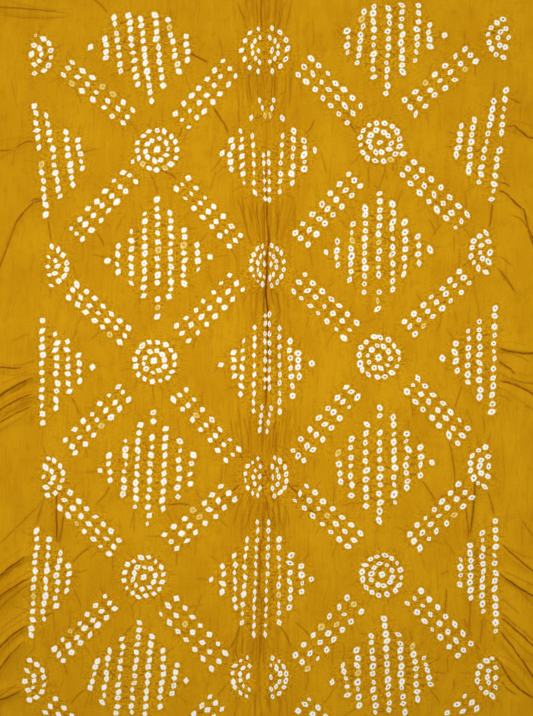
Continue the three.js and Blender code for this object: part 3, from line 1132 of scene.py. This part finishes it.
# Long soft creases along the threads in the plain cloth
def add_thread_creases():
    kind = THREAD_CREASE
    for _ in range(THREAD_CREASES):
        x1 = crease_random.uniform(*THREAD_CREASE_ACROSS) * WIDTH
        y1 = crease_random.uniform(*THREAD_CREASE_ALONG) * LENGTH
        length = crease_random.uniform(*THREAD_CREASE_SHARE) * THREAD_CREASE_LENGTH
        x2 = x1 + crease_random.gauss(0, THREAD_CREASE_LEAN) * length
        depth = depth_of(kind)
        bow = crease_random.gauss(0, THREAD_CREASE_BOW)
        tests = [(x1 + (x2 - x1) * share, y1 - length * share, 0) for share in THREAD_CREASE_TESTS]
        if min(dot_tree.find(test)[2] for test in tests) > THREAD_CREASE_CLEAR:
            add_crease(x1, y1, x2, y1 - length, bow, depth, kind.width, kind.wave)


# Short creases that the ties pulled up between dots
def add_tie_creases():
    for dot in dots:
        for other, _, gap in dot_tree.find_range((dot.x, dot.y, 0), TIE_REACH):
            across = other.x - dot.x
            beside = across > TIE_LEAST and abs(other.y - dot.y) < TIE_SLOPE * abs(across)
            if beside and crease_random.random() < TIE_CHANCE:
                gap_x = across * TIE_GAP / gap
                gap_y = (other.y - dot.y) * TIE_GAP / gap
                bow = crease_random.gauss(0, TIE_BOW)
                depth = depth_of(TIE_CREASE)
                start_y = dot.y + gap_y + crease_random.gauss(0, TIE_STRAY)
                end_y = other.y - gap_y + crease_random.gauss(0, TIE_STRAY)
                ends = (dot.x + gap_x, start_y, other.x - gap_x, end_y)
                add_crease(*ends, bow, depth, TIE_CREASE.width, TIE_CREASE.wave)


# Puckers that leave the outermost dots of a motif, away from its other dots
def add_puckers():
    for dot in dots:
        near = dot_tree.find_range((dot.x, dot.y, 0), PUCKER_REACH)
        pull_x = sum(dot.x - place.x for place, _, _ in near)
        pull_y = sum(dot.y - place.y for place, _, _ in near)
        pull = math.hypot(pull_x, pull_y) / len(near)
        if pull > PUCKER_PULL and crease_random.random() < PUCKER_CHANCE:
            length = crease_random.uniform(*PUCKER_LENGTH)
            skew = crease_random.gauss(0, PUCKER_TURN)
            turn = math.atan2(pull_y, pull_x) + skew
            if crease_random.random() < UPRIGHT_CHANCE:
                turn = math.copysign(math.pi / 2, math.sin(turn)) + skew
                length *= UPRIGHT_LONGER
            start_x = dot.x + PUCKER_GAP * math.cos(turn)
            start_y = dot.y + PUCKER_GAP * math.sin(turn)
            end_x = start_x + length * math.cos(turn)
            end_y = start_y + length * math.sin(turn)
            bow = crease_random.gauss(0, PUCKER_BOW)
            add_crease(start_x, start_y, end_x, end_y, bow, depth_of(PUCKER), PUCKER.width, PUCKER.wave)


add_charted_creases()
add_edge_creases()
add_pleats()
add_thread_creases()
add_tie_creases()
add_puckers()


# The mesh's points. A point is left out where another one is too near
class PointSet:
    CELL = 4.0

    def __init__(self):
        self.points = []
        self.cells = {}

    def add(self, x, y, clear, margin=INSIDE_HEM):
        if abs(x) > WIDTH / 2 - margin or abs(y) > LENGTH / 2 - margin:
            return
        column = int(x // self.CELL)
        row = int(y // self.CELL)
        clear_squared = clear * clear
        for i in (column - 1, column, column + 1):
            for j in (row - 1, row, row + 1):
                for px, py in self.cells.get((i, j), ()):
                    if (px - x) ** 2 + (py - y) ** 2 < clear_squared:
                        return
        self.points.append((x, y))
        self.cells.setdefault((column, row), []).append((x, y))


point_random = random.Random(POINT_SEED)
sheet = PointSet()


def add_hem():
    across = round(WIDTH / HEM_STEP)
    along = round(LENGTH / HEM_STEP)
    for i in range(across + 1):
        for side in (-1, 1):
            sheet.add(-WIDTH / 2 + WIDTH * i / across, side * LENGTH / 2, HEM_CLEAR, 0)
    for i in range(1, along):
        for side in (-1, 1):
            sheet.add(side * WIDTH / 2, -LENGTH / 2 + LENGTH * i / along, HEM_CLEAR, 0)


def add_dot_points():
    for dot in dots:
        sheet.add(dot.x, dot.y, DOT_MIDDLE_CLEAR)
    for radius, count in DOT_RINGS:
        for dot in dots:
            for i in range(count):
                turn = dot.angle + 2 * math.pi * i / count
                sheet.add(dot.x + radius * math.cos(turn), dot.y + radius * math.sin(turn), DOT_RING_CLEAR)


def add_crease_points():
    for rank in CREASE_ROWS:
        for crease in creases:
            if abs(rank) > 1 and crease.width < CREASE_WIDTH:
                continue
            length = math.hypot(crease.x2 - crease.x1, crease.y2 - crease.y1)
            along_x = (crease.x2 - crease.x1) / length
            along_y = (crease.y2 - crease.y1) / length
            steps = max(2, round(length / CREASE_STEP))
            for i in range(steps + 1):
                share = i / steps
                away = crease_offset(crease, share) + rank * crease.width
                x = crease.x1 + along_x * length * share - along_y * away
                y = crease.y1 + along_y * length * share + along_x * away
                sheet.add(x, y, CREASE_CLEAR * crease.width)


def add_middle_points():
    steps = round(LENGTH / CREASE_STEP)
    at_y = np.linspace(-LENGTH / 2, LENGTH / 2, steps + 1)
    at_x = middle_crease_x(at_y)
    for rank in CREASE_ROWS:
        for x, y in zip(at_x, at_y):
            sheet.add(x + rank * MIDDLE_CREASE_WIDTH, y, MIDDLE_CLEAR)


# Points over the rest of the sheet, in staggered rows, or only over its gathers
def add_fill(step, only_gathers):
    rows = round(LENGTH / (step * ROW_HEIGHT))
    columns = round(WIDTH / step)
    for row in range(rows):
        y = -LENGTH / 2 + LENGTH * (row + 0.5) / rows
        for column in range(columns):
            x = -WIDTH / 2 + WIDTH * (column + 0.25 + 0.5 * (row % 2)) / columns
            if only_gathers and (abs(x) > GATHER_POINTS_REACH or gather_strength(x, y) < GATHER_POINTS_LEAST):
                continue
            jitter_x = point_random.uniform(-1, 1) * FILL_JITTER
            jitter_y = point_random.uniform(-1, 1) * FILL_JITTER
            sheet.add(x + jitter_x, y + jitter_y, step * CLEAR_SHARE)


add_hem()
add_middle_points()
add_crease_points()
add_dot_points()
add_fill(GATHER_STEP, True)
add_fill(FILL_STEP, False)


def noise_at(x, y, wide, long, layer):
    return np.array([noise.noise((a / wide, b / long, layer)) for a, b in zip(x, y)])


# How many dots are near each point, from 0 in the plain cloth to 1 inside a motif
def motif_strength(x, y):
    strength = np.zeros(len(x))
    for i, (a, b) in enumerate(zip(x, y)):
        near = dot_tree.find_range((a, b, 0), MOTIF_REACH)
        strength[i] = sum(1 - gap / MOTIF_REACH for _, _, gap in near)
    return np.clip(strength / MOTIF_FULL, 0, 1)


# The places that are near a crease, out of many
def near_crease(crease, x, y):
    margin = SHOULDERS_AWAY * SHOULDER_WIDTH + abs(crease.bow)
    low_x = min(crease.x1, crease.x2) - margin
    high_x = max(crease.x1, crease.x2) + margin
    low_y = min(crease.y1, crease.y2) - margin
    high_y = max(crease.y1, crease.y2) + margin
    return np.flatnonzero((x > low_x) & (x < high_x) & (y > low_y) & (y < high_y))


# The signed distance from a crease, and how strong it is beside its ends
def from_crease(crease, x, y):
    share, away = along_line(x, y, crease.x1, crease.y1, crease.x2, crease.y2)
    starting = smooth((share + RUN_OUT) / crease.fade_start)
    ending = smooth((1 + RUN_OUT - share) / crease.fade_end)
    return away - crease_offset(crease, share), starting * ending


def crease_relief(x, y):
    relief = np.zeros(len(x))
    for crease in creases:
        near = near_crease(crease, x, y)
        away, ends = from_crease(crease, x[near], y[near])
        groove = np.exp(-((away / crease.width) ** 2)) * ends
        shoulder = np.exp(-((away / SHOULDER_WIDTH) ** 2)) * ends
        relief[near] += CREASE_RELIEF * crease.depth * (SHOULDER_SHARE * shoulder - groove)
    return relief


def middle_crease(x, y):
    depth = middle_at(y)[2]
    return -depth * np.exp(-(((x - middle_crease_x(y)) / MIDDLE_CREASE_WIDTH) ** 2))


# For each face, the distance of its three corners from the crease that its middle is nearest to, and
# how dark that crease is there
def crease_lines(x, y, faces):
    middle_x = x[faces].mean(axis=1)
    middle_y = y[faces].mean(axis=1)
    nearest = MIDDLE_NEARER * np.abs(middle_x - middle_crease_x(middle_y))
    away = x[faces] - middle_crease_x(y[faces].ravel()).reshape(faces.shape)
    dark = np.repeat(middle_at(middle_y)[2][:, None], 3, axis=1)
    for crease in creases:
        near = near_crease(crease, middle_x, middle_y)
        middle_away, ends = from_crease(crease, middle_x[near], middle_y[near])
        reached = np.abs(middle_away) + FADED_AWAY * (1 - ends)
        closer = reached < nearest[near]
        near = near[closer]
        nearest[near] = reached[closer]
        corner_away, corner_ends = from_crease(crease, x[faces[near]], y[faces[near]])
        away[near] = corner_away
        dark[near] = corner_ends * crease.depth
    return away.ravel(), dark.ravel()


# The cone at each dot
def cone_relief(x, y):
    relief = np.zeros(len(x))
    for i, (a, b) in enumerate(zip(x, y)):
        for _, _, gap in dot_tree.find_range((a, b, 0), CONE_FOOT):
            cone = CONE_HEIGHT * math.exp(-((gap / CONE_REACH) ** 2))
            relief[i] += cone - DIMPLE_DEPTH * math.exp(-((gap / DIMPLE_REACH) ** 2))
    return relief


def crinkle_relief(x, y, motif):
    relief = np.zeros(len(x))
    for wide, long, layer, plain, extra in CRINKLES:
        relief = relief + noise_at(x, y, wide, long, layer) * (plain + extra * motif)
    return relief


def fine_gathers(x, y):
    wobble = FINE_GATHER_WOBBLE * noise_at(x, y, *WOBBLE_PATCH)
    wave = np.cos(2 * math.pi * (x - middle_at(y)[0] + wobble) / FINE_GATHER_PITCH)
    return FINE_GATHER_HEIGHT * gather_strength(x, y) / FULL_GATHER * wave


# How near the middle fold each point is, from 0 away from it to 1 beside it
def beside_fold(x, y):
    from_fold = np.abs(x - middle_at(y)[0])
    return smooth(1 - (from_fold - FOLD_STREAKS_NEAR) / FOLD_STREAKS_FADE)


def add_attribute(mesh, name, domain, values):
    kind = "FLOAT" if values.ndim == 1 else "FLOAT_VECTOR"
    layer = mesh.attributes.new(name, kind, domain)
    layer.data.foreach_set("value" if kind == "FLOAT" else "vector", values.astype(np.float32).ravel())


# How far the three corners of a face are from the line that joins its two nearest dots, where they are
# neighbours in a column. Far away where they aren't
def link_away(corners, first, second):
    if first.column < 0 or first.column != second.column or abs(first.place - second.place) != 1:
        return (LINK_FAR, LINK_FAR, LINK_FAR)
    middle = corners.mean(axis=0)
    line = (first.x, first.y, second.x, second.y)
    if along_line(middle[0], middle[1], *line)[0] < 0:
        return (LINK_FAR, LINK_FAR, LINK_FAR)
    return along_line(corners[:, 0], corners[:, 1], *line)[1]


# What the material needs to know of the two dots nearest to each face
def add_dot_attributes(mesh, corners):
    places = [[], []]
    forms = [[], []]
    looks = [[], []]
    links = []
    for face in corners:
        x, y = face.mean(axis=0)
        pair = [dots[index] for _, index, _ in dot_tree.find_n((x, y, 0), 2)]
        links.extend(link_away(face, *pair))
        for rank, dot in enumerate(pair):
            places[rank].append((dot.x, dot.y, dot.roundness))
            forms[rank].append((dot.angle, dot.half_long, dot.half_wide))
            looks[rank].append((dot.white, dot.hole, dot.speck))
    add_attribute(mesh, "link_away", "CORNER", np.array(links))
    for rank in (0, 1):
        add_attribute(mesh, f"dot_place_{rank}", "FACE", np.array(places[rank]))
        add_attribute(mesh, f"dot_form_{rank}", "FACE", np.array(forms[rank]))
        add_attribute(mesh, f"dot_look_{rank}", "FACE", np.array(looks[rank]))


# The flat sheet laid out over the square of its texture
def add_layout(mesh, x, y):
    corner_index = np.zeros(len(mesh.loops), dtype=np.int32)
    mesh.loops.foreach_get("vertex_index", corner_index)
    flat_u = x[corner_index] / WIDTH + 0.5
    flat_v = y[corner_index] / LENGTH + 0.5
    uv = mesh.uv_layers.new(name="OFBake")
    uv.data.foreach_set("uv", np.stack([flat_u, flat_v], axis=1).astype(np.float32).ravel())


def make_cloth():
    corners = [Vector(point) for point in sheet.points]
    made, _, faces, _, _, _ = delaunay_2d_cdt(corners, [], [], 0, SAME_POINT)
    x = np.array([point.x for point in made])
    y = np.array([point.y for point in made])
    motif = motif_strength(x, y)
    relief = crease_relief(x, y) + middle_crease(x, y) + cone_relief(x, y)
    relief = relief + crinkle_relief(x, y, motif) + fine_gathers(x, y)
    height = np.maximum(LOWEST, lift_at(x, y) + BASE_HEIGHT + relief)
    moved_x, moved_y = wandered(x, y)

    mesh = bpy.data.meshes.new("cloth_sheet")
    place = np.stack([moved_x, moved_y, height], axis=1) * MM
    mesh.from_pydata(place.tolist(), [], faces)
    mesh.update()
    add_layout(mesh, x, y)
    face_index = np.array(faces)
    add_dot_attributes(mesh, np.stack([x[face_index], y[face_index]], axis=2))
    add_attribute(mesh, "flat_place", "POINT", np.stack([x, y, np.zeros(len(x))], axis=1))
    add_attribute(mesh, "motif", "POINT", motif)
    away, dark = crease_lines(x, y, face_index)
    add_attribute(mesh, "crease_away", "CORNER", away)
    add_attribute(mesh, "crease_dark", "CORNER", dark)
    add_attribute(mesh, "beside_fold", "POINT", beside_fold(x, y))
    mesh.shade_smooth()
    cloth = bpy.data.objects.new("cloth_length", mesh)
    bpy.context.collection.objects.link(cloth)
    return cloth


# Adds a node. A value that is a socket is linked, and any other is set
def add_node(tree, kind, inputs=(), **settings):
    node = tree.nodes.new(kind)
    for name, value in settings.items():
        setattr(node, name, value)
    pairs = inputs.items() if isinstance(inputs, dict) else enumerate(inputs)
    for key, value in pairs:
        if isinstance(value, bpy.types.NodeSocket):
            tree.links.new(value, node.inputs[key])
        else:
            node.inputs[key].default_value = value
    return node


def maths(tree, operation, *values):
    return add_node(tree, "ShaderNodeMath", values, operation=operation).outputs[0]


def product(tree, first, second):
    return maths(tree, "MULTIPLY", first, second)


def vector_maths(tree, operation, *values):
    return add_node(tree, "ShaderNodeVectorMath", values, operation=operation).outputs[0]


def parts_of(tree, vector):
    return add_node(tree, "ShaderNodeSeparateXYZ", [vector]).outputs


def vector_of(tree, x, y, z):
    return add_node(tree, "ShaderNodeCombineXYZ", [x, y, z]).outputs[0]


# From 0 at the low value to 1 at the high one
def rise(tree, value, low, high):
    inputs = {"Value": value, "From Min": low, "From Max": high}
    return add_node(tree, "ShaderNodeMapRange", inputs, interpolation_type="SMOOTHSTEP").outputs[0]


# From 1 at the low value to 0 at the high one
def fall(tree, value, low, high):
    return maths(tree, "SUBTRACT", 1.0, rise(tree, value, low, high))


# One colour laid over another
def mix(tree, share, under, over):
    inputs = dict(zip(MIX_PLACES, (share, under, over)))
    return add_node(tree, "ShaderNodeMix", inputs, data_type="RGBA").outputs[2]


# What the mesh holds under a name
def stored(tree, name, output="Fac"):
    return add_node(tree, "ShaderNodeAttribute", attribute_name=name).outputs[output]


# Noise over the flat cloth, its patches of the given width and length
def patches(tree, flat, wide, long, detail=2.0):
    scaled = vector_maths(tree, "MULTIPLY", flat, (1 / wide, 1 / long, 1))
    return add_node(tree, "ShaderNodeTexNoise", {"Vector": scaled, "Scale": 1.0, "Detail": detail}).outputs[0]


# The same noise, from the given amount below 0 to as much above it
def uneven(tree, flat, patch, amount):
    return maths(tree, "MULTIPLY_ADD", patches(tree, flat, *patch), 2 * amount, -amount)


# How far a place is from the middle of one of the two nearest dots, in shares of the dot's half sizes
def dot_reach(tree, flat, rank):
    place = stored(tree, f"dot_place_{rank}", "Vector")
    angle, half_long, half_wide = parts_of(tree, stored(tree, f"dot_form_{rank}", "Vector"))
    turn = {"Vector": vector_maths(tree, "SUBTRACT", flat, place), "Angle": product(tree, angle, -1.0)}
    turned = add_node(tree, "ShaderNodeVectorRotate", turn, rotation_type="Z_AXIS").outputs[0]
    shares = vector_maths(tree, "DIVIDE", turned, vector_of(tree, half_long, half_wide, 1.0))
    along, across, _ = parts_of(tree, vector_maths(tree, "ABSOLUTE", shares))
    roundness = parts_of(tree, place)[2]
    powers = [maths(tree, "POWER", part, roundness) for part in (along, across)]
    reach = maths(tree, "POWER", maths(tree, "ADD", *powers), maths(tree, "DIVIDE", 1.0, roundness))
    return maths(tree, "ADD", reach, uneven(tree, flat, RAGGED_PATCH, RAGGED / 2))


# Lays one of the two nearest dots over a colour
def lay_dot(tree, flat, colour, rank):
    reach = dot_reach(tree, flat, rank)
    whiteness, hole_size, darkness = parts_of(tree, stored(tree, f"dot_look_{rank}", "Vector"))
    rim = maths(tree, "SUBTRACT", rise(tree, reach, *RIM_START), rise(tree, reach, *RIM_END))
    rim = product(tree, rim, rise(tree, patches(tree, flat, *RIM_PATCH), *RIM_BREAKS))
    halo = fall(tree, reach, *HALO_END)
    kept = maths(tree, "MAXIMUM", rise(tree, patches(tree, flat, *FAINT_PATCH), *FAINT_BREAKS), whiteness)
    white = product(tree, fall(tree, reach, *WHITE_END), kept)
    hole = fall(tree, reach, *[product(tree, hole_size, edge) for edge in HOLE_EDGE])
    speck = mix(tree, darkness, SPECK_PALE, SPECK_DARK)
    speck = mix(tree, rise(tree, hole_size, *DYED_HOLE), speck, LIGHT_DYE_AND_PAINTED_LIGHT)
    colour = mix(tree, product(tree, rim, RIM_STRENGTH), colour, DEEP_DYE_AND_PAINTED_SHADE)
    colour = mix(tree, product(tree, halo, HALO_STRENGTH), colour, HALO)
    colour = mix(tree, white, colour, mix(tree, whiteness, FAINT, UNDYED))
    return mix(tree, product(tree, hole, HOLE_STRENGTH), colour, speck)


# The thin dark line at the bottom of a crease, partly dye pooled there and partly painted shade, fainter here
# and there, with a soft surround of painted shade, and the painted shade in the core of the deepest ones
def crease_line(tree, flat):
    dark = stored(tree, "crease_dark")
    waver = uneven(tree, flat, WAVER_PATCH, LINE_WAVER)
    gap = maths(tree, "ABSOLUTE", maths(tree, "ADD", stored(tree, "crease_away"), waver))
    half_width = maths(tree, "MULTIPLY_ADD", dark, LINE_WIDER, LINE_HALF_WIDTH)
    thin = fall(tree, maths(tree, "DIVIDE", gap, half_width), 0.0, 1.0)
    breaks = rise(tree, patches(tree, flat, *FAINTER_PATCH), *FAINTER_BREAKS)
    thin = product(tree, thin, maths(tree, "MULTIPLY_ADD", breaks, 1 - FAINTEST, FAINTEST))
    both = maths(tree, "MULTIPLY_ADD", fall(tree, gap, *SURROUND), SURROUND_STRENGTH, thin)
    strength = maths(tree, "MINIMUM", product(tree, dark, LINE_STRENGTH), LINE_STRONGEST)
    core = product(tree, fall(tree, gap, *CORE_EDGE), rise(tree, dark, *CORE_DEPTH))
    return product(tree, maths(tree, "MINIMUM", both, 1.0), strength), core


# The pale line that the tying thread left between the dots of a column
def dot_link(tree, flat):
    thin = fall(tree, maths(tree, "ABSOLUTE", stored(tree, "link_away")), *LINK_EDGE)
    return product(tree, thin, rise(tree, patches(tree, flat, *LINK_PATCH), *LINK_BREAKS))


# The ground: dye streaked along its threads and mottled in the motifs, painted light and shade in broad
# patches, soft streaks and motif blotches, and dark in the creases with dye pooled there and painted shade
def ground_dye_and_shade(tree, flat):
    bend = vector_of(tree, uneven(tree, flat, BEND_PATCH, THREAD_BEND), 0.0, 0.0)
    threads = vector_maths(tree, "ADD", flat, bend)
    colour = DYE
    for wide, long, detail, low, high, strength, tone, bends, limit in DYE_LAYERS:
        share = rise(tree, patches(tree, threads if bends else flat, wide, long, detail), low, high)
        if limit:
            share = product(tree, share, stored(tree, limit))
        colour = mix(tree, product(tree, share, strength), colour, tone)
    line, core = crease_line(tree, flat)
    colour = mix(tree, line, colour, CREASE_DYE_AND_SHADE)
    colour = mix(tree, core, colour, CREASE_CORE_SHADE)
    return mix(tree, product(tree, dot_link(tree, flat), LINK_STRENGTH), colour, HALO)


# The weave's threads over and under one another, and the slubs of the warp
def weave_height(tree, flat):
    across, along, _ = parts_of(tree, flat)
    turn = 2 * math.pi / THREAD_PITCH
    threads = [maths(tree, "SINE", product(tree, part, turn)) for part in (across, along)]
    slubs = patches(tree, flat, *SLUB_PATCH)
    return maths(tree, "MULTIPLY_ADD", slubs, SLUB_HEIGHT, product(tree, *threads))


# A new material, its tree and its shader with the given finish
def new_material(name, finish):
    material = bpy.data.materials.new(name)
    material.use_nodes = True
    shader = material.node_tree.nodes["Principled BSDF"]
    for socket, value in finish.items():
        shader.inputs[socket].default_value = value
    return material, material.node_tree, shader


def cloth_material():
    material, tree, shader = new_material("dyed_cotton", CLOTH_FINISH)
    flat = stored(tree, "flat_place", "Vector")
    colour = ground_dye_and_shade(tree, flat)
    for rank in (1, 0):
        colour = lay_dot(tree, flat, colour, rank)
    tree.links.new(colour, shader.inputs["Base Color"])
    weave = {"Height": weave_height(tree, flat), "Strength": WEAVE_STRENGTH, "Distance": WEAVE_HEIGHT * MM}
    tree.links.new(add_node(tree, "ShaderNodeBump", weave).outputs[0], shader.inputs["Normal"])
    return material


def make_floor():
    half = FLOOR_HALF * MM
    mesh = bpy.data.meshes.new("floor")
    corners = [(-half, -half, 0), (half, -half, 0), (half, half, 0), (-half, half, 0)]
    mesh.from_pydata(corners, [], [(0, 1, 2, 3)])
    mesh.materials.append(new_material("pale_floor", FLOOR_FINISH)[0])
    floor = bpy.data.objects.new("floor", mesh)
    bpy.context.collection.objects.link(floor)


# A square soft light that faces the middle of the cloth
def add_light(name, place, size, power, colour):
    data = bpy.data.lights.new(name, "AREA")
    data.shape = "SQUARE"
    data.size = size * MM
    data.energy = power
    data.color = colour
    light = bpy.data.objects.new(name, data)
    light.location = Vector(place) * MM
    light.rotation_mode = "QUATERNION"
    light.rotation_quaternion = (-light.location).to_track_quat("-Z", "Y")
    bpy.context.collection.objects.link(light)


def make_lights():
    for row in LIGHTS:
        add_light(*row)
    world = bpy.data.worlds.new("studio")
    world.use_nodes = True
    background = world.node_tree.nodes["Background"]
    for socket, value in STUDIO_LIGHT.items():
        background.inputs[socket].default_value = value
    bpy.context.scene.world = world
    bpy.context.scene.view_settings.view_transform = "Standard"


def make_camera():
    data = bpy.data.cameras.new("camera")
    data.lens = LENS
    data.sensor_width = SENSOR
    data.clip_end = VIEW_END * MM
    camera = bpy.data.objects.new("camera", data)
    camera.location = (0, 0, VIEW_LENGTH * LENS / SENSOR * MM)
    bpy.context.collection.objects.link(camera)
    bpy.context.scene.camera = camera


make_camera()
make_lights()
make_floor()
cloth = make_cloth()
cloth.data.materials.append(cloth_material())
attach(cloth, "root")
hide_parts("bandhani_cloth")
